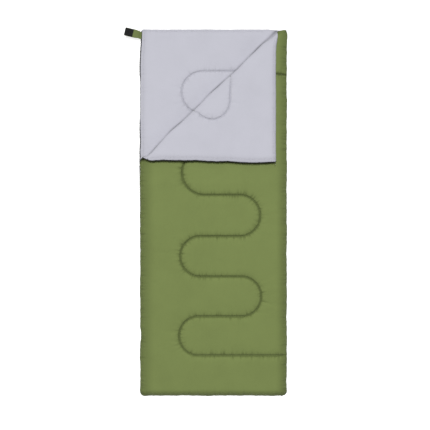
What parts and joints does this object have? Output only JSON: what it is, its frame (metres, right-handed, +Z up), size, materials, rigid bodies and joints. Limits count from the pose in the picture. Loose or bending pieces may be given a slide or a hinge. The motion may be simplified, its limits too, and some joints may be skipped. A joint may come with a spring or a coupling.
{
  "type": "rectangular sleeping bag",
  "caption": "Rectangular quilted sleeping bag laid flat, with an L-shaped side zip, a closing tab and its top corner folded back to show the lining.",
  "frame": {"origin": "on the flat underside, midway along the length and the width of the bag", "axes": "+X across the bag to its folded side, +Y along the bag to the head end, +Z up from the floor"},
  "size_m": [0.849, 1.9115, 0.0899],
  "materials": {
    "shell_cloth": "matte",
    "lining_cloth": "matte",
    "filling": "matte",
    "shell_thread": "matte",
    "lining_thread": "matte",
    "zip_tape": "matte",
    "zip_teeth": "satin",
    "zip_metal": "satin",
    "hook_and_loop": "matte"
  },
  "bodies": {
    "bottom_quilt": {"bottom_shell": "shell_cloth", "bottom_insulation": "filling", "bottom_lining": "lining_cloth", "bottom_quilting_thread": "lining_thread", "bottom_hem_thread": "lining_thread", "lower_zip_tape": "zip_tape", "lower_zip_teeth": "zip_teeth", "lower_zip_stop": "zip_metal", "zip_end_box": "zip_teeth", "tab_root": "shell_cloth"},
    "top_quilt": {"top_shell": "shell_cloth", "top_insulation": "filling", "top_lining": "lining_cloth", "top_quilting_thread": "shell_thread", "top_hem_thread": "shell_thread", "upper_zip_tape": "zip_tape", "upper_zip_teeth": "zip_teeth", "zip_end_pin": "zip_teeth"},
    "corner_flap": {"corner_shell": "shell_cloth", "corner_insulation": "filling", "corner_lining": "lining_cloth", "corner_quilting_thread": "lining_thread", "corner_hem_thread": "lining_thread", "corner_zip_tape": "zip_tape", "corner_zip_teeth": "zip_teeth", "corner_zip_stop": "zip_metal", "loop_patch": "hook_and_loop"},
    "tab_base": {"tab_strap_base": "shell_cloth"},
    "tab_tip": {"tab_strap_tip": "shell_cloth", "hook_patch": "hook_and_loop"},
    "zip_slider": {"slider_body": "zip_metal"},
    "zip_pull": {"slider_pull": "zip_metal"}
  },
  "joints": [
    {"name": "blanket_opening", "type": "hinge", "parent": "bottom_quilt", "child": "top_quilt", "pos_m": [0.38, 0, 0.03], "axis": [0, 1, 0], "range_deg": [0, 180]},
    {"name": "corner_fold", "type": "hinge", "parent": "top_quilt", "child": "corner_flap", "pos_m": [-0.03, 0.6008, 0.0615], "axis": [-0.7071, -0.7071, 0], "range_deg": [0, 180]},
    {"name": "tab_wrap", "type": "hinge", "parent": "bottom_quilt", "child": "tab_base", "pos_m": [-0.3916, 0.92431, 0.0276], "axis": [0.2317, 0.9728, 0], "range_deg": [0, 90]},
    {"name": "tab_tip_fold", "type": "hinge", "parent": "tab_base", "child": "tab_tip", "pos_m": [-0.42594, 0.93249, 0.0276], "axis": [0.2317, 0.9728, 0], "range_deg": [0, 90]},
    {"name": "slider_travel", "type": "slide", "parent": "bottom_quilt", "child": "zip_slider", "axis": [0, -1, 0], "range_m": [0, 1.15]},
    {"name": "pull_swing", "type": "hinge", "parent": "zip_slider", "child": "zip_pull", "pos_m": [-0.3842, 0.2391, 0.03], "axis": [0, 0, -1], "range_deg": [0, 180]}
  ],
  "couplings": [
    {"joint": "tab_tip_fold", "follows": "tab_wrap", "ratio": 1}
  ]
}
